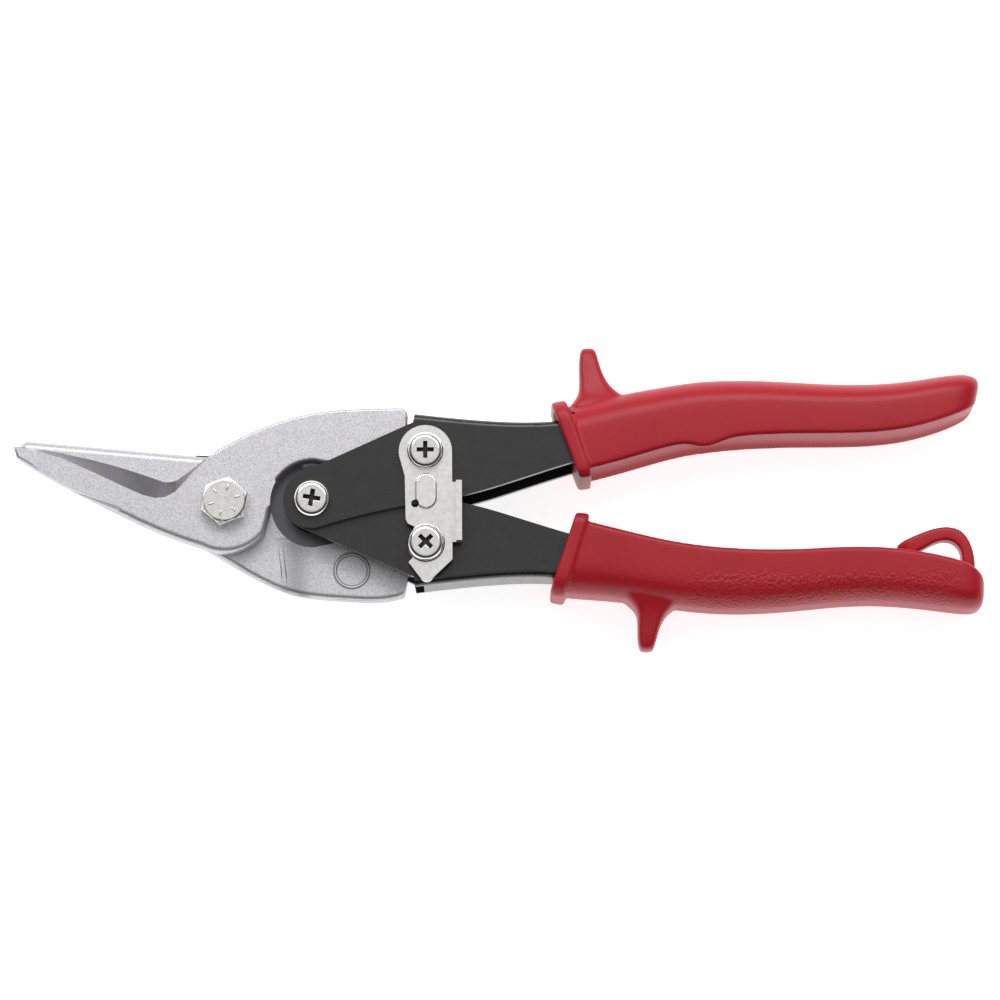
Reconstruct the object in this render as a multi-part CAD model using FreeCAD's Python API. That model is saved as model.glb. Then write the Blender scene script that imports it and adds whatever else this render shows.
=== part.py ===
import FreeCAD, Part
import os
from math import asin, atan2, cos, degrees, radians, sin, sqrt
from FreeCAD import Vector

# Aviation snips, left-cut pattern, lying on their back with the jaws closed.
# Origin: on the main pivot's axis, in the plane that the tool rests on.
# +X runs from the jaws' pivot to the handles, +Y across the handles, +Z towards the bolt head.

# ---------- driving dimensions, in millimetres ----------

# linkage: main pivot at the origin, handle pivot on the X axis, two tail pins
handle_pivot_x = 22.5
tail_pin_x = 51.6
tail_pin_y = 11.85
blade_opening = 22.5

# thicknesses of the jaws and the pressed sheet, and the play between them
jaw_thickness = 5.5
sheet_thickness = 2.2
side_play = 0.1
jaw_play = 0.3

# jaws
blade_length = 54.6
tip_height = 15.7
throat_x = 15.5
throat_y = 6.2
hub_radius = 12.8
tail_height = 24.5
tail_back_step = 4.7
tail_back_height = 6.5
tail_eye_radius = 6.8
notch_radius = 10.9
ledge_radius = 6.9
ledge_depth = 2.2
ledge_reach = 6.0
edge_land = 0.5

# handles: pressed channels, a wide one above and a narrow one nested in it
eye_radius = 7.4
tail_back_play = 1.5
spine_setback = 2.6
spine_play = 1.35
handle_end_inset = 16.8

# pins and fasteners
main_bolt_radius = 4.0
main_head_across_flats = 11.0
main_head_height = 4.2
main_washer_thickness = 1.2
main_nut_thickness = 5.4
main_bolt_end_proud = 0.6
pin_radius = 2.5
screw_head_radius = 4.7
screw_head_height = 2.9
recess_reach = 2.2
recess_width = 1.1
recess_depth = 1.7
nut_across_flats = 8.0
nut_thickness = 2.3
pivot_nut_thickness = 2.5
bush_wall = 1.0
bush_sweep_play = 0.5
spacer_wall = 2.5
running_fit = 0.05
open_pivot_play = 0.45
neck_radius = 1.75

# latch
latch_thickness = 1.5
latch_washer_thickness = 0.6
latch_washer_wall = 3.0
latch_lobe_radius = 6.8
latch_notch_play = 0.2
latch_tip_reach = 9.9
latch_tab_height = 3.2
latch_tab_step = 2.8
latch_tab_low = 0.25
latch_tab_high = 7.95
boss_radius = 2.8
boss_length = 9.2
boss_height = 0.9
boss_reach = 10.3

# spring
spring_wire = 1.7
spring_turns = 2.5
spring_leg_play = 0.2

# grips
grip_front_x = 91.0
grip_length = 103.8
grip_wall = 1.8
grip_corner = 5.5
collar_proud = 0.5
guard_thickness = 11.0
loop_thickness = 7.0

# ---------- levels and places that follow from them ----------

narrow_inside = jaw_thickness + jaw_play
narrow_outside = narrow_inside + sheet_thickness
wide_inside = narrow_outside + side_play
wide_outside = wide_inside + sheet_thickness
grip_half_width = wide_outside + grip_wall
collar_half_width = grip_half_width + collar_proud
main_washer_reach = jaw_thickness + side_play + main_washer_thickness
main_bolt_reach = main_washer_reach + main_nut_thickness + main_bolt_end_proud
# the blades slide on each other in the shear plane, as high as the deepest piece behind it
shear_plane = max(wide_outside + pivot_nut_thickness, main_bolt_reach, collar_half_width)
jaw_front = shear_plane + jaw_thickness
jaw_back = shear_plane - jaw_thickness
wide_front = shear_plane + wide_outside
wide_back = shear_plane - wide_outside
narrow_front = shear_plane + narrow_outside
narrow_back = shear_plane - narrow_outside
latch_bottom = wide_front + latch_washer_thickness + side_play
latch_top = latch_bottom + latch_thickness
head_low = latch_top + side_play

upper_pin = Vector(tail_pin_x, tail_pin_y, 0)
lower_pin = Vector(tail_pin_x, -tail_pin_y, 0)
handle_pin = Vector(handle_pivot_x, 0, 0)
bush_radius = pin_radius + bush_wall
spacer_radius = pin_radius + spacer_wall
spring_coil_radius = tail_pin_y - spacer_radius - spring_wire / 2 - spring_leg_play
latch_notch_radius = screw_head_radius + latch_notch_play
tail_back_x = tail_pin_x - tail_back_step
channel_front_x = tail_back_x + tail_back_play
spine_front_x = channel_front_x + spine_setback
spine_height = tail_pin_y + tail_eye_radius + spine_play + sheet_thickness
handle_end_x = grip_front_x + grip_length - handle_end_inset


# ---------- drawing helpers ----------

def at(x, y, z=0.0):
    return Vector(x, y, z)


def polar(centre, radius, angle):
    """A point on a circle, with the angle in degrees from +X."""
    return centre + Vector(radius * cos(radians(angle)), radius * sin(radians(angle)), 0)


def outline(start, *moves):
    """A closed wire in the XY plane from lines, arcs and smooth curves."""
    edges = []
    here = start
    for kind, *points in moves:
        if kind == "line":
            edges.append(Part.LineSegment(here, points[0]).toShape())
        elif kind == "arc":
            edges.append(Part.Arc(here, points[0], points[1]).toShape())
        else:
            curve = Part.BSplineCurve()
            curve.interpolate([here] + points)
            edges.append(curve.toShape())
        here = points[-1]
    if here.distanceToPoint(start) > 1e-6:
        edges.append(Part.LineSegment(here, start).toShape())
    return Part.Wire(edges)


def plate(wire, low, high):
    face = Part.Face(wire)
    face.translate(Vector(0, 0, low))
    return face.extrude(Vector(0, 0, high - low))


def rod(centre, radius, low, high):
    return Part.makeCylinder(radius, high - low, Vector(centre.x, centre.y, low))


def drill(centre, radius):
    """A rod long enough to pass through every piece."""
    return rod(centre, radius, -1, 3 * shear_plane)


def ring(centre, outer, inner, low, high):
    return rod(centre, outer, low, high).cut(drill(centre, inner))


def hexagon(centre, across_flats, low, high, turn=0.0):
    corner = across_flats / sqrt(3)
    points = [polar(centre, corner, turn + 60 * i) for i in range(7)]
    return plate(Part.makePolygon(points), low, high)


def rounded(shape, radius, chosen):
    """Fillet the edges that the test picks."""
    edges = [edge for edge in shape.Edges if chosen(edge)]
    return shape.makeFillet(radius, edges)


def mirrored(shape):
    """The same shape on the other side of the tool's XZ plane."""
    return shape.mirror(Vector(0, 0, 0), Vector(0, 1, 0))


def save(name, *solids):
    shape = solids[0] if len(solids) == 1 else Part.makeCompound(list(solids))
    shape.exportStep("parts/%s.step" % name)
    print("%-22s %9.1f mm3 %s" % (name, shape.Volume, "ok" if shape.isValid() else "INVALID"))


# ---------- jaws ----------

def belly_and_notch():
    """Moves from the blade's belly round the hub to the end of the notch."""
    origin = at(0, 0)
    return [
        ("arc", polar(origin, hub_radius, -72), polar(origin, hub_radius, -38)),
        ("curve", polar(origin, hub_radius - 0.9, -22), polar(handle_pin, notch_radius, 188)),
        ("arc", polar(handle_pin, notch_radius, 140), polar(handle_pin, notch_radius, 88)),
    ]


def tail_end():
    """Moves from the notch under the tail pin to the back corner of the tail."""
    pin = upper_pin
    return [
        ("curve", at(handle_pivot_x + 8, notch_radius - 1.6), polar(pin, tail_eye_radius, -110)),
        ("arc", polar(pin, tail_eye_radius, 0), polar(pin, tail_eye_radius, 112)),
        ("line", at(tail_back_x, tail_height - tail_back_height)),
        ("line", at(tail_back_x, tail_height - 3.2)),
        ("curve", at(tail_back_x - 0.3, tail_height - 0.9), at(tail_back_x - 1.6, tail_height)),
    ]


def front_jaw_outline():
    edge = at(-blade_length + 1.0, tip_height)
    return outline(
        at(-blade_length, tip_height - 0.5),
        ("line", at(-blade_length + 1.0, tip_height - 3.6)),
        ("curve", at(-blade_length * 0.82, tip_height - 8.9), at(-blade_length * 0.64, tip_height - 14.2),
         at(-blade_length * 0.39, tip_height - 21.1), polar(at(0, 0), hub_radius, -118)),
        *belly_and_notch(),
        *tail_end(),
        ("curve", at(tail_back_x - 13, tail_height - 0.2), at(handle_pivot_x - 1, tail_height - 1.4),
         at(handle_pivot_x - 10, tail_height - 3.9), at(2.2, tail_height - 8.4),
         at(-4.6, tail_height - 12.4)),
        ("line", at(-throat_x + 3.6, throat_y + 0.8)),
        ("curve", at(-throat_x + 1.6, throat_y), at(-throat_x - 0.7, throat_y)),
        ("arc", at(-blade_length * 0.6, tip_height - 4.1), edge),
    )


def bevel_cutter():
    """The wedge that the grinder takes off the front blade, from the face down to the cutting edge."""
    stations = [
        (-blade_length - 1.5, tip_height - 1.1, tip_height + 0.4),
        (-blade_length * 0.91, tip_height - 1.7, tip_height - 0.6),
        (-blade_length * 0.765, tip_height - 4.0, tip_height - 1.8),
        (-blade_length * 0.62, tip_height - 7.6, tip_height - 3.7),
        (-throat_x - 10.2, throat_y - 2.0, throat_y + 3.5),
        (-throat_x - 5.6, throat_y - 4.1, throat_y + 2.1),
        (-throat_x - 2.4, throat_y - 4.9, throat_y + 0.9),
        (-throat_x + 0.1, throat_y - 4.7, throat_y + 0.1),
        (-throat_x + 2.7, throat_y - 3.3, throat_y + 0.4),
        (-throat_x + 4.9, throat_y - 1.0, throat_y + 2.1),
        (-throat_x + 7.5, throat_y + 2.0, throat_y + 4.2),
        (-throat_x + 10.9, throat_y + 5.1, throat_y + 7.0),
        (-throat_x + 17, throat_y + 10.3, throat_y + 12.6),
    ]
    low = shear_plane + side_play / 2 + edge_land
    sections = []
    for x, top_y, edge_y in stations:
        corners = [
            Vector(x, top_y - 0.18 * (edge_y - top_y), jaw_front + 0.18 * (jaw_front - low)),
            Vector(x, edge_y + 0.1, low),
            Vector(x, edge_y + 14, low),
            Vector(x, edge_y + 14, jaw_front + 4),
        ]
        sections.append(Part.makePolygon(corners + corners[:1]))
    return Part.makeLoft(sections, True, True)


def front_jaw():
    body = plate(front_jaw_outline(), shear_plane + side_play / 2, jaw_front)
    body = body.cut(bevel_cutter())
    body = body.cut(drill(at(0, 0), main_bolt_radius))
    return body.cut(drill(upper_pin, pin_radius + running_fit))


def rear_jaw_outline():
    """The blade lies above the pivot, behind the front jaw's, and the tail below it."""
    origin = at(0, 0)
    return outline(
        at(-blade_length, tip_height - 0.4),
        ("curve", at(-blade_length * 0.6, throat_y + 2.9), at(-throat_x, throat_y - 2.0)),
        ("line", polar(origin, hub_radius - 0.6, 196)),
        ("arc", polar(origin, hub_radius - 0.6, 220), polar(origin, hub_radius - 0.6, 244)),
        ("curve", at(7.4, -tail_height + 6.0), at(handle_pivot_x - 7, -tail_height + 2.3),
         at(handle_pivot_x + 9, -tail_height), at(tail_back_x - 5, -tail_height),
         at(tail_back_x - 1.0, -tail_height + 1.0)),
        ("line", at(tail_back_x, -tail_height + tail_back_height)),
        ("line", polar(lower_pin, tail_eye_radius, 248)),
        ("arc", polar(lower_pin, tail_eye_radius, 0), polar(lower_pin, tail_eye_radius, 110)),
        ("curve", at(handle_pivot_x + 8, -notch_radius + 1.6), polar(handle_pin, notch_radius, 272)),
        ("arc", polar(handle_pin, notch_radius, 200), polar(handle_pin, notch_radius, 105)),
        ("curve", at(10, 13.4), at(0, 13.2), at(-throat_x, 14.1), at(-blade_length * 0.6, tip_height),
         at(-blade_length + 3.0, tip_height + 1.9)),
    )


def open_handle_pin():
    """Where the handles' pivot lies, as the rear jaw sees it, when the blades are fully open."""
    half = radians(blade_opening / 2)
    tail = polar(at(0, 0), upper_pin.Length, degrees(atan2(tail_pin_y, tail_pin_x) + half))
    link = (upper_pin - handle_pin).Length
    return polar(at(0, 0), tail.x - sqrt(link ** 2 - tail.y ** 2), degrees(half))


def bush_sweep():
    """The room that the handle bush needs in the rear jaw from closed to open."""
    start, end = handle_pin, open_handle_pin()
    heading = degrees(atan2(end.y - start.y, end.x - start.x))
    radius = bush_radius + bush_sweep_play
    wire = outline(
        polar(start, radius, heading + 90),
        ("arc", polar(start, radius, heading + 180), polar(start, radius, heading - 90)),
        ("line", polar(end, radius, heading - 90)),
        ("arc", polar(end, radius, heading), polar(end, radius, heading + 90)),
    )
    return plate(wire, -1, 2 * shear_plane)


def rear_jaw():
    top = shear_plane - side_play / 2
    body = plate(rear_jaw_outline(), jaw_back, top)
    ledge = ring(handle_pin, notch_radius + 0.4, ledge_radius, jaw_back, top - ledge_depth)
    reach = 2 * notch_radius
    beyond = Part.makeBox(reach, 2 * reach, 2 * shear_plane, Vector(handle_pivot_x + ledge_reach, -reach, 0))
    body = body.fuse(ledge.cut(beyond)).removeSplitter().cut(bush_sweep())
    body = body.cut(drill(at(0, 0), main_bolt_radius + running_fit))
    return body.cut(drill(lower_pin, pin_radius + open_pivot_play))


# ---------- handles ----------

def along(share):
    """A place along the grip, as a share of its length."""
    return grip_front_x + share * grip_length


def edge_line():
    """The flange's inner edge, from the handle pivot back to the grip's mouth and into the grip."""
    return [
        at(handle_pivot_x + 12, -4.3), at(tail_pin_x - 6, -1.9), at(tail_pin_x + 10, 0.9),
        at(tail_pin_x + 26, 5.6), at(along(0.006), 9.9), at(along(0.218), 14.6),
        at(along(0.44), 17.6), at(along(0.626), 17.8), at(handle_end_x, 19.6),
    ]


def spine_line():
    """The outside of the channel's spine, from the end in the grip back to the front corner."""
    high = spine_height
    return [
        at(handle_end_x, high + 2.6), at(along(0.607), high + 2.2), at(along(0.44), high + 4.0),
        at(along(0.256), high + 3.4), at(along(0.083), high + 0.2), at(tail_pin_x + 34, high - 2.0),
        at(tail_pin_x + 16, high - 1.9), at(channel_front_x + 0.5, high),
    ]


def handle_outline():
    """The flange's shape, from the eye at the handle pivot to the end in the grip."""
    spine = spine_line()
    corner = at(channel_front_x, spine_height - 2.4)
    to_corner = corner - handle_pin
    slope = degrees(atan2(to_corner.y, to_corner.x) - asin(eye_radius / to_corner.Length))
    return outline(
        polar(handle_pin, eye_radius, -80),
        ("curve", *edge_line()),
        ("line", spine[0]),
        ("curve", *spine[1:]),
        ("line", corner),
        ("line", polar(handle_pin, eye_radius, 90 + slope)),
        ("arc", polar(handle_pin, eye_radius, 195), polar(handle_pin, eye_radius, -80)),
    )


def channel_core(half):
    """What the press leaves empty between the flanges, open on the inner side."""
    inward = Vector(0, -sheet_thickness, 0)
    spine = [point + inward for point in spine_line()]
    past_front, past_end = handle_pivot_x - 2 * eye_radius, handle_end_x + 2 * eye_radius
    below, above = -2 * spine_height, 2 * spine_height
    wire = outline(
        at(past_front, below), ("line", at(past_end, below)),
        ("line", at(past_end, spine[0].y)), ("line", spine[0]), ("curve", *spine[1:]),
        ("line", at(spine_front_x, spine_height - sheet_thickness)),
        ("line", at(spine_front_x, above)), ("line", at(past_front, above)),
    )
    return plate(wire, shear_plane - half, shear_plane + half)


def handle_blank(outside):
    """The channel's outer shape, filled, with its bends rounded."""
    body = plate(handle_outline(), shear_plane - outside, shear_plane + outside)

    def bend(edge):
        box = edge.BoundBox
        return box.ZLength < 1e-6 and box.YMin > spine_height - 4 and box.XLength > 60

    return rounded(body, sheet_thickness * 0.8, bend)


def handle(inside, outside):
    """A pressed channel: two flanges joined by the spine."""
    return handle_blank(outside).cut(channel_core(inside))


def upper_handle():
    body = handle(wide_inside, wide_outside)
    body = body.cut(rod(handle_pin, pin_radius, shear_plane, wide_front + 1))
    body = body.cut(rod(handle_pin, bush_radius, wide_back - 1, shear_plane))
    return body.cut(drill(upper_pin, pin_radius))


def lower_handle():
    body = mirrored(handle(narrow_inside, narrow_outside))
    body = body.cut(drill(handle_pin, bush_radius + running_fit))
    return body.cut(drill(lower_pin, pin_radius))


# ---------- fasteners ----------

def pan_head(centre, low, turn):
    """A pan head with a cross recess; the turn is the recess's angle in degrees."""
    head = rod(centre, screw_head_radius, low, low + screw_head_height)
    head = rounded(head, screw_head_height * 0.55,
                   lambda edge: abs(edge.CenterOfMass.z - low - screw_head_height) < 1e-6)
    for quarter in (0, 90):
        slot = Part.makeBox(2 * recess_reach, recess_width, screw_head_height,
                            Vector(-recess_reach, -recess_width / 2, low + screw_head_height - recess_depth))
        slot.rotate(Vector(0, 0, 0), Vector(0, 0, 1), turn + quarter)
        slot.translate(centre)
        head = head.cut(slot)
    return head


def nut(centre, top, across_flats, thickness, bore, turn):
    body = hexagon(centre, across_flats, top - thickness, top, turn)
    return body.cut(drill(centre, bore))


def pivot_bolt():
    top = jaw_front + main_head_height
    head = hexagon(at(0, 0), main_head_across_flats, jaw_front, top, 20)
    crown_radius = main_head_across_flats / 2 - 0.4
    crown = Part.makeCone(crown_radius + main_head_height, crown_radius, main_head_height,
                          Vector(0, 0, jaw_front))
    shank = rod(at(0, 0), main_bolt_radius, shear_plane - main_bolt_reach, jaw_front)
    return head.common(crown).fuse(shank).removeSplitter()


def pivot_washer():
    return ring(at(0, 0), main_bolt_radius * 2, main_bolt_radius, shear_plane - main_washer_reach,
                jaw_back - side_play)


def pivot_nut():
    return nut(at(0, 0), shear_plane - main_washer_reach, main_head_across_flats, main_nut_thickness,
               main_bolt_radius, 10)


def handle_pivot_screw():
    shank = rod(handle_pin, pin_radius, wide_back - pivot_nut_thickness, wide_front)
    return pan_head(handle_pin, wide_front, -10).fuse(shank).removeSplitter()


def handle_pivot_bush():
    return ring(handle_pin, bush_radius, pin_radius, wide_back, shear_plane + wide_inside)


def handle_pivot_nut():
    return nut(handle_pin, wide_back, nut_across_flats, pivot_nut_thickness, pin_radius, 15)


def upper_tail_screw():
    shank = rod(upper_pin, pin_radius, wide_back - nut_thickness, head_low)
    return pan_head(upper_pin, head_low, 0).fuse(shank).removeSplitter()


def upper_tail_nut():
    return nut(upper_pin, wide_back, nut_across_flats, nut_thickness, pin_radius, 0)


def upper_tail_spacers():
    """One fills the gap in front of the jaw's tail, the other the gap behind it."""
    front = ring(upper_pin, spacer_radius, pin_radius, jaw_front + side_play, shear_plane + wide_inside)
    back = ring(upper_pin, spacer_radius, pin_radius, shear_plane - wide_inside,
                shear_plane - side_play / 2)
    return front, back


def lower_tail_screw():
    """A shouldered screw: the thin neck is what the latch hooks behind."""
    shoulder_top = latch_bottom - 2 * side_play
    shank = rod(lower_pin, pin_radius, narrow_back - nut_thickness, narrow_front)
    shoulder = rod(lower_pin, screw_head_radius, narrow_front, shoulder_top)
    neck = rod(lower_pin, neck_radius, shoulder_top, head_low)
    return pan_head(lower_pin, head_low, 45).fuse([shank, shoulder, neck]).removeSplitter()


def lower_tail_nut():
    return nut(lower_pin, narrow_back, nut_across_flats, nut_thickness, pin_radius, 30)


def lower_tail_spacer():
    return ring(lower_pin, spacer_radius, pin_radius, shear_plane + side_play / 2,
                shear_plane + narrow_inside)


# ---------- latch ----------

def latch_outline():
    pin, hook = upper_pin, lower_pin
    right = pin.x + latch_lobe_radius
    return outline(
        polar(pin, latch_lobe_radius, 190),
        ("line", pin + Vector(-5.3, -6.4, 0)),
        ("line", hook + Vector(-5.1, 6.3, 0)),
        ("line", hook + Vector(-4.6, 5.1, 0)),
        ("line", polar(hook, latch_notch_radius, 122)),
        ("arc", polar(hook, latch_notch_radius, 0), polar(hook, latch_notch_radius, 228)),
        ("line", hook + Vector(-4.4, -4.9, 0)),
        ("line", hook + Vector(-1.4, 1.0 - latch_tip_reach, 0)),
        ("arc", hook + Vector(0.2, -latch_tip_reach, 0), hook + Vector(1.8, 1.0 - latch_tip_reach, 0)),
        ("line", at(right, hook.y - 4.2)),
        ("line", at(right, pin.y)),
        ("arc", polar(pin, latch_lobe_radius, 90), polar(pin, latch_lobe_radius, 190)),
    )


def latch_boss():
    """An oval pressed up out of the plate, with its rim rounded."""
    centre = upper_pin + Vector(0.1, -boss_reach, 0)
    half_run = Vector(0, boss_length / 2 - boss_radius, 0)
    foot, top = latch_top - boss_height, latch_top + boss_height
    ends = [rod(centre + half_run, boss_radius, foot, top), rod(centre - half_run, boss_radius, foot, top)]
    middle = Part.makeBox(2 * boss_radius, 2 * half_run.y, top - foot,
                          centre - half_run + Vector(-boss_radius, 0, foot))
    return rounded(middle.fuse(ends).removeSplitter(), boss_height * 0.6,
                   lambda edge: abs(edge.CenterOfMass.z - top) < 1e-6)


def latch():
    """A plated steel plate with a thumb tab bent up along its outer side and a pressed oval boss."""
    body = plate(latch_outline(), latch_bottom, latch_top)
    right = upper_pin.x + latch_lobe_radius
    low, high = lower_pin.y + latch_tab_low, upper_pin.y - latch_tab_high
    tab_x = right + latch_tab_step - latch_thickness - 0.3
    step = Part.makeBox(latch_tab_step, high - low, latch_thickness, Vector(right - 0.6, low, latch_bottom))
    tab = Part.makeBox(latch_thickness, high - low, latch_tab_height + latch_thickness,
                       Vector(tab_x, low, latch_bottom))
    body = body.fuse([step, tab, latch_boss()]).removeSplitter()
    body = body.cut(drill(upper_pin + Vector(0.1 - boss_radius, -boss_reach - 3.2, 0), 1.0))
    return body.cut(drill(upper_pin, pin_radius + running_fit))


def latch_washer():
    return ring(upper_pin, pin_radius + latch_washer_wall, pin_radius, wide_front,
                wide_front + latch_washer_thickness)


# ---------- return spring ----------

def return_spring():
    """A torsion spring round the handle bush, with a leg against each tail pin's spacer."""
    gap = spring_wire / 2 + side_play
    low = shear_plane - ledge_depth + gap
    coil_height = shear_plane + narrow_inside - gap - low
    pitch = coil_height / spring_turns
    helix = Part.makeHelix(pitch, coil_height, spring_coil_radius)
    helix.rotate(Vector(0, 0, 0), Vector(0, 0, 1), 90)
    helix.translate(Vector(handle_pivot_x, 0, low))
    start = Vector(handle_pivot_x, spring_coil_radius, low)
    finish = Vector(handle_pivot_x, -spring_coil_radius, low + coil_height)
    first_leg = Part.LineSegment(Vector(tail_pin_x, start.y, low), start).toShape()
    last_leg = Part.LineSegment(finish, Vector(tail_pin_x, finish.y, finish.z)).toShape()
    path = Part.Wire([first_leg] + helix.Edges + [last_leg])
    circle = Part.Circle(Vector(tail_pin_x, start.y, low), Vector(1, 0, 0), spring_wire / 2)
    sweep = Part.BRepOffsetAPI.MakePipeShell(path)
    sweep.setBiNormalMode(Vector(0, 0, 1))
    sweep.setTransitionMode(1)
    sweep.add(Part.Wire(circle.toShape()))
    sweep.build()
    sweep.makeSolid()
    return sweep.shape()


# ---------- grips ----------

def grip_section(inner, outer, half_width, corner):
    """A rounded rectangle standing across the grip, between a point on each side."""
    centre = (inner + outer) * 0.5
    along = (outer - inner) * 0.5
    half = along.Length
    up = along * (1.0 / half)
    side = Vector(0, 0, 1)
    r = corner

    def spot(u, v):
        return centre + up * u + side * v

    k = r * (1 - sqrt(0.5))
    h, w = half, half_width
    edges = [
        Part.LineSegment(spot(-h + r, w), spot(h - r, w)).toShape(),
        Part.Arc(spot(h - r, w), spot(h - k, w - k), spot(h, w - r)).toShape(),
        Part.LineSegment(spot(h, w - r), spot(h, -w + r)).toShape(),
        Part.Arc(spot(h, -w + r), spot(h - k, -w + k), spot(h - r, -w)).toShape(),
        Part.LineSegment(spot(h - r, -w), spot(-h + r, -w)).toShape(),
        Part.Arc(spot(-h + r, -w), spot(-h + k, -w + k), spot(-h, -w + r)).toShape(),
        Part.LineSegment(spot(-h, -w + r), spot(-h, w - r)).toShape(),
        Part.Arc(spot(-h, w - r), spot(-h + k, w - k), spot(-h + r, w)).toShape(),
    ]
    return Part.Wire(edges)


def grip_body(stations):
    """A loft through rounded sections along the grip.

    A station is the inner point's share of the length and height, the outer point's share of the
    length and height over the channel's spine, and the share of the full width.
    """
    wires = []
    for inner_share, inner_y, outer_share, over_spine, width_share in stations:
        inner = at(along(inner_share), inner_y, shear_plane)
        outer = at(along(outer_share), spine_height + over_spine, shear_plane)
        wires.append(grip_section(inner, outer, grip_half_width * width_share, grip_corner * width_share))
    return Part.makeLoft(wires, True, False)


def collar(inner_front, outer_front, inner_back, outer_back):
    """The raised rim at the grip's mouth."""
    level = Vector(0, 0, shear_plane)
    wires = [grip_section(inner_front + level, outer_front + level, collar_half_width, grip_corner),
             grip_section(inner_back + level, outer_back + level, collar_half_width, grip_corner)]
    return Part.makeLoft(wires, True, True)


def outside(x, over_spine):
    """A point from the grip's front and the channel's spine."""
    return at(grip_front_x + x, spine_height + over_spine)


def slab(wire, thickness):
    """A plate of the grip's own material, centred on the shear plane."""
    return plate(wire, shear_plane - thickness / 2, shear_plane + thickness / 2)


def upper_grip():
    front = grip_front_x
    body = grip_body([
        (0.014, 7.5, -0.045, 1.3, 1.0), (0.125, 10.2, 0.10, 5.1, 1.0), (0.27, 13.4, 0.255, 8.1, 1.0),
        (0.44, 15.6, 0.44, 9.0, 1.0), (0.64, 15.9, 0.64, 7.7, 1.0), (0.775, 16.4, 0.77, 7.8, 1.0),
        (0.88, 18.4, 0.90, 9.6, 1.0), (0.955, 20.8, 0.972, 9.9, 0.86), (0.988, 23.8, 0.998, 8.0, 0.5),
    ])
    rim = collar(at(front + 0.4, 5.9), outside(-6.8, 2.0), at(front + 3.6, 6.3), outside(-2.9, 3.0))
    guard = outline(
        outside(-3.0, -0.2), ("line", outside(-2.8, 1.4)),
        ("curve", outside(-0.4, 2.8), outside(0.6, 5.8), outside(0.3, 10.8), outside(0.4, 16.2)),
        ("arc", outside(2.4, 18.5), outside(4.7, 16.1)),
        ("curve", outside(6.7, 9.7), outside(9.4, 6.4), outside(15.0, 6.0)),
        ("line", outside(12.0, -0.2)),
    )
    body = body.fuse([rim, slab(guard, guard_thickness)]).removeSplitter()
    return body.cut(handle_blank(wide_outside))


def lower_grip():
    """Drawn above the X axis and mirrored, as its handle is."""
    front, end = grip_front_x, grip_front_x + grip_length
    body = grip_body([
        (0.010, 6.5, -0.050, 1.5, 1.0), (0.13, 9.2, 0.11, 3.0, 1.0), (0.27, 12.0, 0.26, 5.7, 1.0),
        (0.44, 13.8, 0.44, 6.4, 1.0), (0.64, 13.1, 0.64, 4.7, 1.0), (0.775, 13.3, 0.775, 4.6, 1.0),
        (0.895, 15.6, 0.885, 5.7, 1.0), (0.965, 18.2, 0.955, 6.6, 0.86), (1.0, 21.8, 0.992, 6.0, 0.5),
    ])
    rim = collar(at(front - 0.4, 4.4), outside(-7.2, 2.0), at(front + 2.4, 4.6), outside(-3.6, 2.6))
    guard = outline(
        outside(10.0, -0.2), ("line", outside(9.4, 2.6)),
        ("curve", outside(13.6, 4.6), outside(15.0, 9.3), outside(14.8, 14.8)),
        ("arc", outside(16.7, 16.8), outside(19.1, 14.4)),
        ("curve", outside(21.1, 8.4), outside(25.0, 6.0), outside(30.0, 5.8)),
        ("line", outside(28.0, -0.2)),
    )
    strap = outline(
        at(end - 24.6, 14.0), ("line", at(end - 24.6, 11.3)),
        ("curve", at(end - 16.1, 8.7), at(end - 9.2, 6.8), at(end - 4.6, 8.8), at(end - 2.6, 14.2),
         at(end - 1.6, 20.0)),
        ("line", at(end - 6.0, 20.0)),
    )
    eye = outline(
        at(end - 15.6, 12.7),
        ("curve", at(end - 12.6, 10.3), at(end - 9.4, 9.5), at(end - 6.6, 11.2), at(end - 5.2, 15.4)),
        ("line", at(end - 8.0, 20.0)), ("line", at(end - 16.0, 20.0)),
    )
    loop = slab(strap, loop_thickness).cut(slab(eye, 2 * loop_thickness))
    body = body.fuse([rim, slab(guard, guard_thickness), loop]).removeSplitter()
    return mirrored(body.cut(handle_blank(narrow_outside)))


# ---------- the pieces, one file each ----------

os.makedirs("parts", exist_ok=True)

save("front_jaw", front_jaw())
save("rear_jaw", rear_jaw())
save("pivot_bolt", pivot_bolt())
save("pivot_washer", pivot_washer())
save("pivot_nut", pivot_nut())
save("upper_handle", upper_handle())
save("lower_handle", lower_handle())
save("handle_pivot_screw", handle_pivot_screw())
save("handle_pivot_bush", handle_pivot_bush())
save("handle_pivot_nut", handle_pivot_nut())
save("return_spring", return_spring())
save("upper_tail_screw", upper_tail_screw())
save("upper_tail_nut", upper_tail_nut())
save("upper_tail_spacers", *upper_tail_spacers())
save("lower_tail_screw", lower_tail_screw())
save("lower_tail_nut", lower_tail_nut())
save("lower_tail_spacer", lower_tail_spacer())
save("latch", latch())
save("latch_washer", latch_washer())
save("upper_grip", upper_grip())
save("lower_grip", lower_grip())
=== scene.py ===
from math import atan2, cos, pi, radians, sin

import bmesh
import bpy
from mathutils import Matrix, Vector


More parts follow.
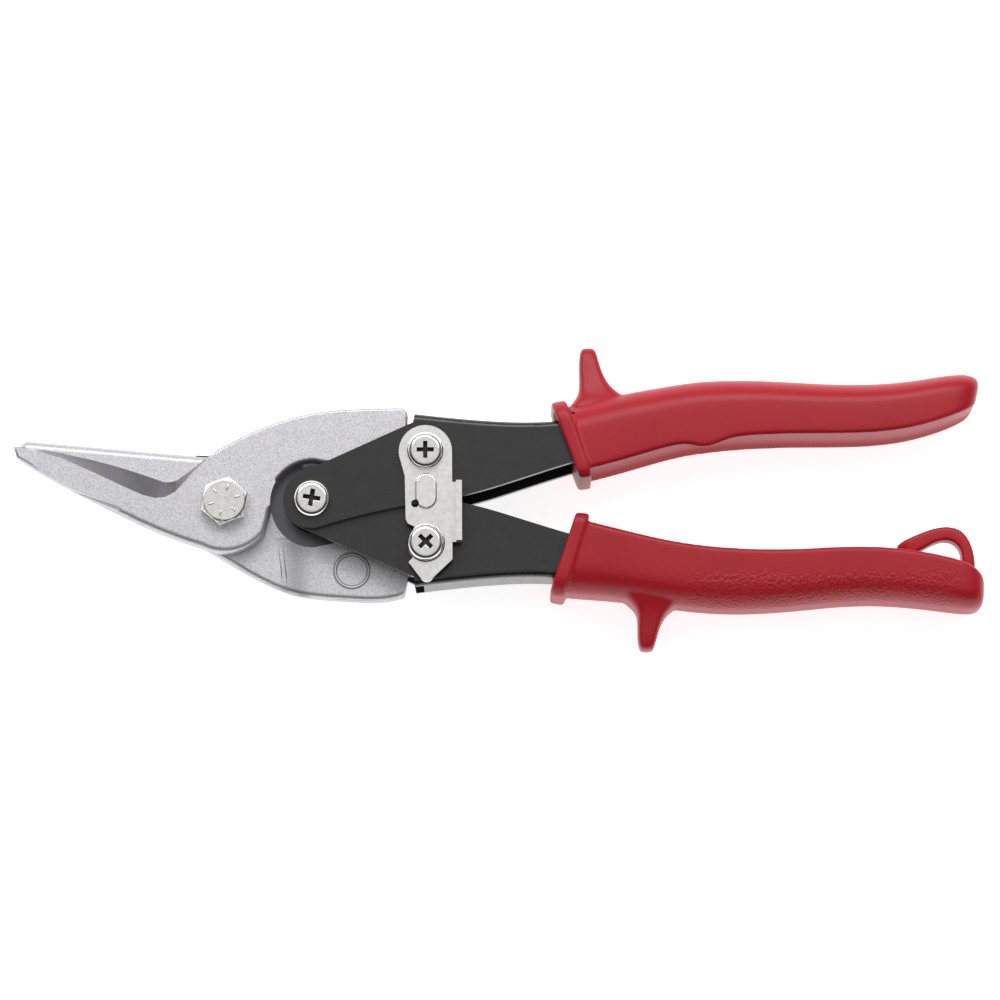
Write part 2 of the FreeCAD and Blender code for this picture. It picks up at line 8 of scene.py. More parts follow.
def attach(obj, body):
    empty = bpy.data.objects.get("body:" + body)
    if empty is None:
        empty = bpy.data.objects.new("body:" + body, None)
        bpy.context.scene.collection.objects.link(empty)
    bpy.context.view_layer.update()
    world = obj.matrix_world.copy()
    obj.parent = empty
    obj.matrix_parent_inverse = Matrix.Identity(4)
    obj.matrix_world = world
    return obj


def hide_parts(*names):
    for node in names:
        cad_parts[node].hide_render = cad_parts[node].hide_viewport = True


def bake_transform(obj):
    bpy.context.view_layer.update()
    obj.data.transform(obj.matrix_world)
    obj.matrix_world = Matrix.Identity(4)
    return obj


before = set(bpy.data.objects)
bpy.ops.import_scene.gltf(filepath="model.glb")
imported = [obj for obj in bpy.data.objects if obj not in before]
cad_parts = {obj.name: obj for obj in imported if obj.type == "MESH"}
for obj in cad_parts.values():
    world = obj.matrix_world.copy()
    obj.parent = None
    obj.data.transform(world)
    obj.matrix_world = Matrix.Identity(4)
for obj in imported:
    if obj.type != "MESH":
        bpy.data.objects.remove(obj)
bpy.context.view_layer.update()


# ---------- the room ----------
# A plain white table top, faintly self-lit, that the snips lie on. They are seen from nearly straight
# above through a long lens, so that the two handles show hardly any perspective.
MM = 0.001
SHEAR = 12.8 * MM
VIEW_CENTRE = Vector((70.6 * MM, 1.1 * MM, SHEAR))
VIEW_WIDTH = 257.6 * MM
LENS, SENSOR = 200.0, 36.0
ELEVATION = radians(81)
ROLL = radians(-0.35)


def clear_selection():
    """Leaves edit mode and deselects every object."""
    if bpy.context.object and bpy.context.object.mode != "OBJECT":
        bpy.ops.object.mode_set(mode="OBJECT")
    bpy.ops.object.select_all(action="DESELECT")


def new_material(name, **inputs):
    """A principled material whose plain values sit on the shader's own sockets."""
    material = bpy.data.materials.new(name)
    material.use_nodes = True
    shader = material.node_tree.nodes["Principled BSDF"]
    for socket, value in inputs.items():
        shader.inputs[socket.replace("_", " ")].default_value = value
    return material, material.node_tree, shader


def node(tree, kind, **values):
    item = tree.nodes.new(kind)
    for key, value in values.items():
        if key in item.inputs:
            item.inputs[key].default_value = value
        else:
            setattr(item, key, value)
    return item


def ramp(tree, value, start, end, low=0.0, high=1.0, kind="LINEAR"):
    """Goes from low to high while the value goes from start to end."""
    mapped = node(tree, "ShaderNodeMapRange", interpolation_type=kind)
    for socket, number in (("From Min", start), ("From Max", end), ("To Min", low), ("To Max", high)):
        mapped.inputs[socket].default_value = number
    tree.links.new(value, mapped.inputs["Value"])
    return mapped.outputs["Result"]


def combine(tree, operation, first, second=0.0):
    """One step of arithmetic on two values or sockets."""
    step = node(tree, "ShaderNodeMath", operation=operation)
    for socket, value in zip(step.inputs, (first, second)):
        if isinstance(value, float):
            socket.default_value = value
        else:
            tree.links.new(value, socket)
    return step.outputs["Value"]


clear_selection()
distance = VIEW_WIDTH * LENS / SENSOR
away = Vector((0, -cos(ELEVATION), sin(ELEVATION)))
bpy.ops.object.camera_add(location=VIEW_CENTRE + distance * away)
camera = bpy.context.object
tilt = Matrix.Rotation(pi / 2 - ELEVATION, 4, "X")
camera.rotation_euler = (tilt @ Matrix.Rotation(ROLL, 4, "Z")).to_euler()
camera.data.lens = LENS
camera.data.sensor_width = SENSOR
camera.data.clip_end = 20
bpy.context.scene.camera = camera

bpy.context.scene.view_settings.view_transform = "Standard"

# The room is bright overhead and at the horizon, with a dark band between, brighter on the +Y side,
# so that plated heads and rounded rims show a bright top, a dark curve and a bright outer edge.
world = bpy.data.worlds.new("studio")
world.use_nodes = True
sky = world.node_tree
facing = node(sky, "ShaderNodeTexCoord")
axes = node(sky, "ShaderNodeSeparateXYZ")
bands = node(sky, "ShaderNodeValToRGB")
bands.color_ramp.elements[0].color = (0.85, 0.85, 0.85, 1)
bands.color_ramp.elements[1].color = (0.92, 0.92, 0.92, 1)
for position, level in ((0.14, 0.60), (0.30, 0.03), (0.70, 0.05), (0.88, 0.80)):
    bands.color_ramp.elements.new(position).color = (level, level, level, 1)
sky.links.new(facing.outputs["Generated"], axes.inputs["Vector"])
sky.links.new(axes.outputs["Z"], bands.inputs["Fac"])
side_light = ramp(sky, axes.outputs["Y"], -0.2, 1.0, 0.0, 0.55)
glow = combine(sky, "ADD", bands.outputs["Color"], side_light)
background = sky.nodes["Background"]
sky.links.new(glow, background.inputs["Strength"])
background.inputs["Color"].default_value = (0.72, 0.72, 0.72, 1)
bpy.context.scene.world = world

clear_selection()
bpy.ops.mesh.primitive_plane_add(size=6, location=(VIEW_CENTRE.x, 0, -0.2 * MM))
table = bpy.context.object
table.name = "table_top"
paper = new_material("white_paper", Roughness=0.9, Base_Color=(0.9, 0.9, 0.9, 1),
                     Emission_Color=(1.0, 1.0, 1.0, 1), Emission_Strength=0.80)[0]
table.data.materials.append(paper)


def softbox(name, place, size, power):
    """A rectangular soft light that points at the middle of the tool."""
    clear_selection()
    bpy.ops.object.light_add(type="AREA", location=place)
    lamp = bpy.context.object
    lamp.name = name
    lamp.data.shape = "RECTANGLE"
    lamp.data.size, lamp.data.size_y = size
    lamp.data.energy = power
    lamp.rotation_euler = (VIEW_CENTRE - Vector(place)).to_track_quat("-Z", "Y").to_euler()


softbox("key_light", (-0.15, 0.60, 0.75), (0.8, 0.4), 3.5)
softbox("grip_light", (0.35, 0.45, 0.8), (0.5, 0.3), 1.8)


# ---------- blasted steel jaws ----------
# Both jaws are drop forgings, blasted to a fine grey grain all over, with the front blade's edge
# ground to a smooth bevel. The forging's rims are rounded; the ground edges stay crisp.
FRONT_JAW_TOP, REAR_JAW_TOP, LEDGE_TOP = 18.3, 12.75, 10.55
RING_X, RING_Y, RING_RADIUS, RING_BEAD = 32.4, -17.1, 4.3, 0.34
WAIST_X, WAIST_RADIUS, WAIST_DEPTH = 18.0, 60.0, 0.35


def pick_piece(piece):
    """Selects one piece alone and makes it the active one."""
    clear_selection()
    piece.select_set(True)
    bpy.context.view_layer.objects.active = piece


def cad_copy(name, new_name):
    """A copy of a CAD node's mesh with its loose triangles merged into whole faces."""
    piece = bpy.data.objects.new(new_name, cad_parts[name].data.copy())
    piece.data.materials.clear()
    bpy.context.collection.objects.link(piece)
    pick_piece(piece)
    bpy.ops.object.mode_set(mode="EDIT")
    bpy.ops.mesh.select_all(action="SELECT")
    bpy.ops.mesh.remove_doubles(threshold=0.002 * MM)
    bpy.ops.mesh.customdata_custom_splitnormals_clear()
    bpy.ops.mesh.dissolve_limited(angle_limit=radians(0.6))
    bpy.ops.object.mode_set(mode="OBJECT")
    return piece


def pick_edges(piece, wanted):
    """Selects the edges that the test says, from a middle point and the two faces' normals."""
    bpy.ops.object.mode_set(mode="EDIT")
    bpy.ops.mesh.select_mode(type="EDGE")
    bpy.ops.mesh.select_all(action="DESELECT")
    mesh = bmesh.from_edit_mesh(piece.data)
    for edge in mesh.edges:
        middle = (edge.verts[0].co + edge.verts[1].co) / 2
        if len(edge.link_faces) == 2 and edge.calc_face_angle(0) > radians(25):
            if wanted(middle / MM, *(face.normal for face in edge.link_faces)):
                edge.select_set(True)
    bmesh.update_edit_mesh(piece.data)


def is_rim(first, second, level=0.99):
    """Whether an edge lies between a level face that looks up and an upright one."""
    return max(first.z, second.z) > level and min(abs(first.z), abs(second.z)) < 0.1


def round_edges(piece, width, wanted, segments=3, clamp=True):
    """Rounds the picked edges; the width is in millimetres."""
    pick_edges(piece, wanted)
    bpy.ops.mesh.bevel(offset=width * MM, segments=segments, affect="EDGES", clamp_overlap=clamp)
    bpy.ops.object.mode_set(mode="OBJECT")


def apply_modifier(piece, kind, **values):
    """Adds a modifier to a piece and applies it at once."""
    pick_piece(piece)
    modifier = piece.modifiers.new(kind.lower(), kind)
    for key, value in values.items():
        setattr(modifier, key, value)
    bpy.ops.object.modifier_apply(modifier=modifier.name)


def remove(piece):
    """Deletes a cutting tool once it has done its work; the piece it cut stays the active one."""
    clear_selection()
    piece.select_set(True)
    bpy.ops.object.delete()


def smooth(piece, angle=35):
    """Smooth shading, except over edges sharper than the angle."""
    pick_piece(piece)
    bpy.ops.object.shade_smooth_by_angle(angle=radians(angle))


def flatten_shading(piece):
    """Lets the large flat faces set the shading, so that only the rounded edges look round."""
    smooth(piece)
    apply_modifier(piece, "WEIGHTED_NORMAL", keep_sharp=True)


def noise(tree, place, **values):
    """A cloudy texture that is fixed to the piece."""
    texture = node(tree, "ShaderNodeTexNoise", **values)
    tree.links.new(place, texture.inputs["Vector"])
    return texture.outputs["Fac"]


def tones(tree, value, dark, light, start=0.0, end=1.0):
    """A colour between two tones, led by a texture."""
    blend = node(tree, "ShaderNodeValToRGB")
    first, last = blend.color_ramp.elements
    first.position, last.position = start, end
    first.color, last.color = (*dark, 1), (*light, 1)
    tree.links.new(value, blend.inputs["Fac"])
    return blend.outputs["Color"]


def relief(tree, shader, height, strength, distance):
    """Fine bumps over the surface, led by a texture."""
    bump = node(tree, "ShaderNodeBump", Strength=strength, Distance=distance)
    tree.links.new(height, bump.inputs["Height"])
    tree.links.new(bump.outputs["Normal"], shader.inputs["Normal"])
    return bump


def blasted_steel(name, ring_and_waist_shade=False):
    """Grey grained steel; on the rear jaw's, painted shade darkens a band round its forged ring and across
    its dished waist.
    """
    material, tree, shader = new_material(name, Metallic=0.8)
    place = node(tree, "ShaderNodeTexCoord").outputs["Object"]
    grain = noise(tree, place, Scale=3800.0, Detail=2.0, Roughness=0.6)
    cloud = noise(tree, place, Scale=90.0, Detail=3.0)
    tone = tones(tree, grain, (0.40, 0.392, 0.412), (0.70, 0.688, 0.718), 0.30, 0.60)
    link = tree.links.new
    link(tone, shader.inputs["Base Color"])
    link(ramp(tree, cloud, 0.0, 1.0, 0.36, 0.48), shader.inputs["Roughness"])
    relief(tree, shader, grain, 0.4, 0.09 * MM)
    if not ring_and_waist_shade:
        return material
    # Painted shade: the grain colour is darkened in a narrow band on each side of the ring bead, with the
    # bead itself left light, and across the dished waist.
    axes = node(tree, "ShaderNodeSeparateXYZ")
    link(place, axes.inputs["Vector"])
    along, across = axes.outputs["X"], axes.outputs["Y"]
    off_x = combine(tree, "ADD", along, -RING_X * MM)
    off_y = combine(tree, "ADD", across, -RING_Y * MM)
    squared = combine(tree, "ADD", combine(tree, "MULTIPLY", off_x, off_x),
                      combine(tree, "MULTIPLY", off_y, off_y))
    off_circle = combine(tree, "ADD", combine(tree, "SQRT", squared), -RING_RADIUS * MM)
    from_ring = combine(tree, "ABSOLUTE", off_circle)
    soft = "SMOOTHSTEP"
    groove_shade = ramp(tree, from_ring, 0.35 * MM, 0.75 * MM, 0.45, 1.0, soft)
    bead = ramp(tree, from_ring, 0.12 * MM, 0.30 * MM, 1.0, 0.0, soft)
    ring_shade = combine(tree, "MAXIMUM", groove_shade, bead)
    before = ramp(tree, along, WAIST_X * MM, (WAIST_X - 5.0) * MM, 0.66, 1.0, soft)
    after = ramp(tree, along, WAIST_X * MM, (WAIST_X + 5.0) * MM, 0.66, 1.0, soft)
    above = ramp(tree, across, -11.5 * MM, -8.0 * MM, 0.0, 1.0, soft)
    waist_shade = combine(tree, "MAXIMUM", combine(tree, "MAXIMUM", before, after), above)
    darker = node(tree, "ShaderNodeMix", data_type="RGBA", blend_type="MULTIPLY")
    darker.inputs["Factor"].default_value = 1.0
    link(tone, darker.inputs[6])
    link(combine(tree, "MULTIPLY", ring_shade, waist_shade), darker.inputs[7])
    link(darker.outputs[2], shader.inputs["Base Color"])
    return material


def ground_steel(name):
    """Smooth ground metal with faint grinding lines across the blade."""
    material, tree, shader = new_material(name, Metallic=0.9, Roughness=0.3)
    place = node(tree, "ShaderNodeTexCoord").outputs["Object"]
    stretch = node(tree, "ShaderNodeMapping", Scale=(900.0, 60.0, 60.0))
    tree.links.new(place, stretch.inputs["Vector"])
    lines = noise(tree, stretch.outputs["Vector"], Scale=3.0, Detail=4.0)
    tone = tones(tree, lines, (0.11, 0.105, 0.12), (0.17, 0.165, 0.18))
    tree.links.new(tone, shader.inputs["Base Color"])
    relief(tree, shader, lines, 0.1, 0.03 * MM)
    return material


steel = blasted_steel("blasted_steel")
# The rear jaw's steel carries painted shade round its ring and over its waist.
painted_shade_steel = blasted_steel("blasted_steel_painted_shade", ring_and_waist_shade=True)
ground = ground_steel("ground_steel")

front_jaw = cad_copy("front_jaw", "front_jaw_forging")
front_jaw.data.materials.append(steel)
front_jaw.data.materials.append(ground)
for face in front_jaw.data.polygons:
    sloped = 0.25 < face.normal.z < 0.97
    if sloped and face.center.y > -2 * MM:
        face.material_index = 1
round_edges(front_jaw, 1.5, lambda at, a, b: abs(at.z - FRONT_JAW_TOP) < 0.02
            and at.y < -1 and at.x < 13 and is_rim(a, b), 5, False)
round_edges(front_jaw, 0.8, lambda at, a, b: abs(at.z - FRONT_JAW_TOP) < 0.02
            and (at.y > 10 or at.x > 13) and is_rim(a, b), 4, False)
flatten_shading(front_jaw)
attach(front_jaw, "front_jaw")
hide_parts("front_jaw")

rear_jaw = cad_copy("rear_jaw", "rear_jaw_forging")
rear_jaw.data.materials.append(painted_shade_steel)
rear_jaw.data.materials.append(ground)

# The waist between the pivot and the tail is dished by a shallow cut with a wide round tool.
clear_selection()
waist_axis = REAR_JAW_TOP + WAIST_RADIUS - WAIST_DEPTH
bpy.ops.mesh.primitive_cylinder_add(vertices=320, radius=WAIST_RADIUS * MM, depth=24 * MM,
                                    rotation=(pi / 2, 0, 0),
                                    location=(WAIST_X * MM, -20.5 * MM, waist_axis * MM))
waist_tool = bpy.context.object
bpy.ops.object.transform_apply(location=True, rotation=True, scale=True)
apply_modifier(rear_jaw, "BOOLEAN", operation="DIFFERENCE", object=waist_tool, solver="EXACT")
remove(waist_tool)
round_edges(rear_jaw, 1.3, lambda at, a, b: at.z > 12.3 and at.y < -11 and at.x < 46
            and is_rim(a, b, 0.9), 4, False)
round_edges(rear_jaw, 2.2, lambda at, a, b: abs(at.z - REAR_JAW_TOP) < 0.02
            and at.y > 12.5 and at.x < 0 and is_rim(a, b, 0.9), 5, False)
for face in rear_jaw.data.polygons:
    if face.normal.z > 0.99 and abs(face.center.z - LEDGE_TOP * MM) < 0.02 * MM:
        face.material_index = 1

# The forged ring is a low bead, half sunk in the jaw's face.
clear_selection()
ring_centre = Vector((RING_X, RING_Y, REAR_JAW_TOP - 0.03)) * MM
bpy.ops.mesh.primitive_torus_add(location=ring_centre, major_segments=96, minor_segments=12,
                                 major_radius=RING_RADIUS * MM, minor_radius=RING_BEAD * MM)
ring_bead = bpy.context.object
ring_bead.data.materials.append(painted_shade_steel)
bpy.ops.object.mode_set(mode="EDIT")
bpy.ops.mesh.select_all(action="SELECT")
bpy.ops.transform.resize(value=(1, 1, 0.6), center_override=ring_centre)
bpy.ops.object.mode_set(mode="OBJECT")
bpy.ops.object.transform_apply(location=True, rotation=True, scale=True)
rear_jaw.select_set(True)
bpy.context.view_layer.objects.active = rear_jaw
bpy.ops.object.join()
flatten_shading(rear_jaw)
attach(rear_jaw, "rear_jaw")
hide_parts("rear_jaw")


# ---------- bright plated fasteners and latch ----------
# Nickel-plated steel: the hex pivot bolt, the cross-head screws, their nuts and spacers,
# and the latch plate with its thumb tab. The plating is bright, with very fine scratches.
HANDLE_PIVOT_X, TAIL_X, TAIL_Y = 22.5, 51.6, 11.85
SCREW_PLACES = {"handle_pivot_screw": (HANDLE_PIVOT_X, 0),
                "upper_tail_screw": (TAIL_X, TAIL_Y),
                "lower_tail_screw": (TAIL_X, -TAIL_Y)}
RECESS_RADIUS, RECESS_DEPTH, CROWN_DEPTH = 2.35, 2.0, 0.15
BOLT_TOP = 22.5
DASH_COUNT, DASH_PLACE, DASH_TURN = 6, 3.4, radians(15)
DASH_LENGTH, DASH_WIDTH, DASH_HEIGHT = 1.5, 0.55, 0.6


def turn(angle, centre):
    """Turns the selection anticlockwise, seen from above."""
    bpy.ops.transform.rotate(value=-angle, orient_axis="Z", center_override=centre)


def nickel(name, roughness):
    """Bright plating with a faint haze and fine scratches that vary its gloss."""
    material, tree, shader = new_material(name, Metallic=1.0)
    place = node(tree, "ShaderNodeTexCoord").outputs["Object"]
    haze = noise(tree, place, Scale=700.0, Detail=5.0, Roughness=0.7)
    scratch = noise(tree, place, Scale=160.0, Detail=8.0, Roughness=0.8)
    tone = tones(tree, haze, (0.74, 0.73, 0.70), (0.87, 0.865, 0.84), 0.35, 0.6)
    gloss = ramp(tree, scratch, 0.0, 1.0, roughness * 0.7, roughness * 1.4)
    tree.links.new(tone, shader.inputs["Base Color"])
    tree.links.new(gloss, shader.inputs["Roughness"])
    relief(tree, shader, haze, 0.12, 0.03 * MM)
    return material


def recess_shade_and_stain(name):
    """Painted shade for a screw's cross recess: a dull, near-black floor and walls, with a faint rusty-brown
    stain.
    """
    material, tree, shader = new_material(name, Metallic=0.5, Roughness=0.5)
    place = node(tree, "ShaderNodeTexCoord").outputs["Object"]
    stain = noise(tree, place, Scale=900.0, Detail=3.0)
    tone = tones(tree, stain, (0.012, 0.010, 0.008), (0.085, 0.062, 0.045))
    tree.links.new(tone, shader.inputs["Base Color"])
    return material


recess_shadow = recess_shade_and_stain("recess_shadow")
bright = nickel("bright_nickel", 0.10)
plate_nickel = nickel("latch_nickel", 0.22)

for name, body in (("pivot_bolt", "front_jaw"), ("handle_pivot_screw", "upper_handle"),
                   ("upper_tail_screw", "upper_handle"), ("lower_tail_screw", "lower_handle")):
    screw = cad_copy(name, name + "_plated")
    screw.data.materials.append(bright)
    screw.data.materials.append(recess_shadow)
    head_top = max(vertex.co.z for vertex in screw.data.vertices)
    centre = SCREW_PLACES.get(name)
    round_edges(screw, 0.12, lambda at, a, b: at.z > FRONT_JAW_TOP, 2)
    # The faces inside each cross recess get the painted shade material.
    for face in screw.data.polygons:
        below = (head_top - face.center.z) / MM
        if centre and CROWN_DEPTH < below < RECESS_DEPTH:
            if (face.center.xy - Vector(centre) * MM).length < RECESS_RADIUS * MM:
                face.material_index = 1
    flatten_shading(screw)
    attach(screw, body)
    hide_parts(name)

# Six raised dashes stand round the hex head: one is modelled, and the others are turned copies of it.
clear_selection()
dash_spot = Vector((DASH_PLACE * cos(DASH_TURN), DASH_PLACE * sin(DASH_TURN), BOLT_TOP)) * MM
bpy.ops.mesh.primitive_cube_add(size=1, location=dash_spot, rotation=(0, 0, DASH_TURN),
                                scale=(DASH_LENGTH * MM, DASH_WIDTH * MM, DASH_HEIGHT * MM))
bpy.ops.object.transform_apply(location=True, rotation=True, scale=True)
dashes = [bpy.context.object]
dashes[0].data.materials.append(bright)
bpy.ops.object.mode_set(mode="EDIT")
bpy.ops.mesh.select_all(action="SELECT")
bpy.ops.mesh.bevel(offset=0.18 * MM, segments=2, affect="EDGES")
for number in range(1, DASH_COUNT):
    pick_piece(dashes[0])
    bpy.ops.object.duplicate()
    dashes.append(bpy.context.object)
    bpy.ops.object.mode_set(mode="EDIT")
    bpy.ops.mesh.select_all(action="SELECT")
    turn(number * 2 * pi / DASH_COUNT, (0, 0, BOLT_TOP * MM))
bolt = bpy.data.objects["pivot_bolt_plated"]
pick_piece(bolt)
for dash in dashes:
    dash.select_set(True)
bpy.ops.object.join()
flatten_shading(bolt)

latch = cad_copy("latch", "latch_plate")
latch.data.materials.append(plate_nickel)
round_edges(latch, 0.3, lambda at, a, b: at.z > 24, 3)
flatten_shading(latch)
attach(latch, "latch")
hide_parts("latch")

for name in ("pivot_washer", "pivot_nut", "handle_pivot_bush", "handle_pivot_nut", "upper_tail_nut",
             "upper_tail_spacers", "lower_tail_nut", "lower_tail_spacer", "latch_washer"):
    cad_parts[name].data.materials.clear()
    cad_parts[name].data.materials.append(bright)


# ---------- black handles ----------
# Two channels pressed from sheet steel, the upper one nested over the lower one at the pivot. A thick
# coat of gloss black enamel softens their cut edges.
def enamel(name):
    """Gloss black with a faint orange-peel ripple."""
    material, tree, shader = new_material(name, Metallic=0.0, Coat_Weight=0.3, Coat_Roughness=0.08)
    place = node(tree, "ShaderNodeTexCoord").outputs["Object"]
    peel = noise(tree, place, Scale=260.0, Detail=3.0, Roughness=0.5)
    tone = tones(tree, peel, (0.0065, 0.0062, 0.0058), (0.0115, 0.011, 0.0102))
    tree.links.new(tone, shader.inputs["Base Color"])
    tree.links.new(ramp(tree, peel, 0.0, 1.0, 0.22, 0.34), shader.inputs["Roughness"])
    relief(tree, shader, peel, 0.15, 0.05 * MM)
    return material


black = enamel("gloss_black_enamel")
for name in ("upper_handle", "lower_handle"):
    channel = cad_copy(name, name + "_channel")
    channel.data.materials.append(black)
    round_edges(channel, 0.35, lambda at, a, b: at.x < 95 and min(abs(a.z), abs(b.z)) < 0.1
                and max(abs(a.z), abs(b.z)) > 0.99, 2)
    flatten_shading(channel)
    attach(channel, name)
    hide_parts(name)


# ---------- return spring ----------
# A torsion spring of round wire, coiled round the handle bush between the jaws' tails. Each leg
# lies against a tail pin's spacer, so the coil winds up as the handles close.
spring = cad_copy("return_spring", "return_spring_wire")
spring.data.materials.append(ground)
smooth(spring, 50)
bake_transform(spring)
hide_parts("return_spring")


# ---------- red vinyl grips ----------
# Soft vinyl moulded over each handle's channel: a rim at the mouth, a finger guard, crisp edges with
# a trough along the inner side, and a full round outer side. The lower one ends in a hang loop.
# Each section gives its inner and outer points across the grip and its share of the half width.
GRIP_HALF_WIDTH, RIM_HALF_WIDTH, LOOP_HALF_WIDTH = 12.1, 12.6, 3.5
UPPER_MOUTH_HALF_WIDTH, LOWER_MOUTH_HALF_WIDTH = 10.36, 8.06
SKIN_GRID = 0.42


def section_frame(station, side):
    """The middle, height and turn of a section from its inner and outer points, in millimetres."""
    inner_x, inner_y, outer_x, outer_y = station[:4]
    middle = Vector(((inner_x + outer_x) / 2, side * (inner_y + outer_y) / 2, SHEAR / MM)) * MM
    run_x, run_y = outer_x - inner_x, outer_y - inner_y
    return middle, (run_x ** 2 + run_y ** 2) ** 0.5 * MM, side * atan2(-run_x, run_y)


def pick_vertices(piece, wanted):
    """Selects the vertices whose place, in millimetres, passes the test."""
    bpy.ops.mesh.select_mode(type="VERT")
    bpy.ops.mesh.select_all(action="DESELECT")
    mesh = bmesh.from_edit_mesh(piece.data)
    for vertex in mesh.verts:
        if wanted(vertex.co / MM):
            vertex.select_set(True)
    mesh.select_flush_mode()
    bmesh.update_edit_mesh(piece.data)


def tube(name, stations, side, half_width, inner_corner, outer_corner, trough=0.0):
    """A closed bar that follows sections across the grip; side is 1 for the upper grip, -1 for the lower."""
    clear_selection()
    middle, height, angle = section_frame(stations[0], side)
    bpy.ops.mesh.primitive_plane_add(size=1, location=middle, rotation=(0, pi / 2, 0))
    piece = bpy.context.object
    piece.name = name
    bpy.ops.object.transform_apply(location=True, rotation=True, scale=True)
    width = half_width * stations[0][4]
    bpy.ops.object.mode_set(mode="EDIT")
    bpy.ops.transform.resize(value=(1, height, 2 * width * MM), center_override=middle)
    middle_y, middle_z = middle.y / MM, middle.z / MM
    pick_vertices(piece, lambda at: (at.y - middle_y) * side < 0)
    bpy.ops.mesh.bevel(offset=inner_corner * MM, segments=4, affect="VERTICES")
    pick_vertices(piece, lambda at: (at.y - middle_y) * side > 0.45 * height / MM)
    bpy.ops.mesh.bevel(offset=outer_corner * MM, segments=6, affect="VERTICES")
    if trough:
        inner_y = middle_y - side * height / MM / 2
        pick_vertices(piece, lambda at: abs(at.y - inner_y) < 0.01)
        bpy.ops.mesh.subdivide(number_cuts=6)
        pick_vertices(piece, lambda at: abs(at.y - inner_y) < 0.01
                      and abs(at.z - middle_z) < 0.8 * (width - inner_corner))
        bpy.ops.transform.translate(value=(0, side * trough * MM, 0))
    bpy.ops.mesh.select_mode(type="FACE")
    bpy.ops.mesh.select_all(action="SELECT")
    turn(angle, middle)
    for station in stations[1:]:
        next_middle, next_height, next_angle = section_frame(station, side)
        next_width = half_width * station[4]
        bpy.ops.mesh.extrude_region_move(TRANSFORM_OT_translate={"value": next_middle - middle})
        turn(-angle, next_middle)
        bpy.ops.transform.resize(value=(1, next_height / height, next_width / width),
                                 center_override=next_middle)
        turn(next_angle, next_middle)
        middle, height, angle, width = next_middle, next_height, next_angle, next_width
    bpy.ops.mesh.select_all(action="SELECT")
    bpy.ops.mesh.normals_make_consistent(inside=False)
    bpy.ops.object.mode_set(mode="OBJECT")
    return piece


def finger_guard(name, levels, side):
    """A fin that stands out of the grip; each level is a height, two ends along the grip and a half width."""
    clear_selection()
    height, low_x, high_x, width = levels[0]
    middle = Vector(((low_x + high_x) / 2, side * height, SHEAR / MM)) * MM
    bpy.ops.mesh.primitive_plane_add(size=1, location=middle, rotation=(pi / 2, 0, 0))
    piece = bpy.context.object
    piece.name = name
    bpy.ops.object.transform_apply(location=True, rotation=True, scale=True)
    bpy.ops.object.mode_set(mode="EDIT")
    bpy.ops.transform.resize(value=((high_x - low_x) * MM, 1, 2 * width * MM), center_override=middle)
    bpy.ops.mesh.bevel(offset=0.4 * width * MM, segments=3, affect="VERTICES")
    bpy.ops.mesh.select_mode(type="FACE")
    bpy.ops.mesh.select_all(action="SELECT")
    for next_height, next_low, next_high, next_width in levels[1:]:
        next_middle = Vector(((next_low + next_high) / 2, side * next_height, SHEAR / MM)) * MM
        bpy.ops.mesh.extrude_region_move(TRANSFORM_OT_translate={"value": next_middle - middle})
        bpy.ops.transform.resize(value=((next_high - next_low) / (high_x - low_x), 1, next_width / width),
                                 center_override=next_middle)
        middle, low_x, high_x, width = next_middle, next_low, next_high, next_width
    bpy.ops.mesh.select_all(action="SELECT")
    bpy.ops.mesh.normals_make_consistent(inside=False)
    bpy.ops.object.mode_set(mode="OBJECT")
    apply_modifier(piece, "SUBSURF", levels=2, render_levels=2)
    return piece


def lip_swell(piece, side, low_x, high_x, depth):
    """The moulded lips bulge towards the other grip where the forefinger rests."""
    pick_piece(piece)
    bpy.ops.object.mode_set(mode="EDIT")
    pick_vertices(piece, lambda at: low_x < at.x < high_x and side * at.y < 18
                  and at.z - SHEAR / MM > 0.8 * GRIP_HALF_WIDTH)
    bpy.ops.transform.translate(value=(0, -side * depth * MM, 0))
    bpy.ops.object.mode_set(mode="OBJECT")


def mould(name, pieces, hollow, material):
    """Joins the parts of a grip, melts them into one skin and opens the mouth for the handle."""
    grip = pieces[0]
    pick_piece(grip)
    for piece in pieces:
        piece.select_set(True)
    bpy.ops.object.join()
    grip.name = name
    apply_modifier(grip, "REMESH", mode="VOXEL", voxel_size=SKIN_GRID * MM)
    apply_modifier(grip, "SMOOTH", factor=0.5, iterations=4)
    apply_modifier(grip, "BOOLEAN", operation="DIFFERENCE", object=hollow, solver="EXACT")
    remove(hollow)
    smooth(grip, 40)
    grip.data.materials.clear()
    grip.data.materials.append(material)
    return grip


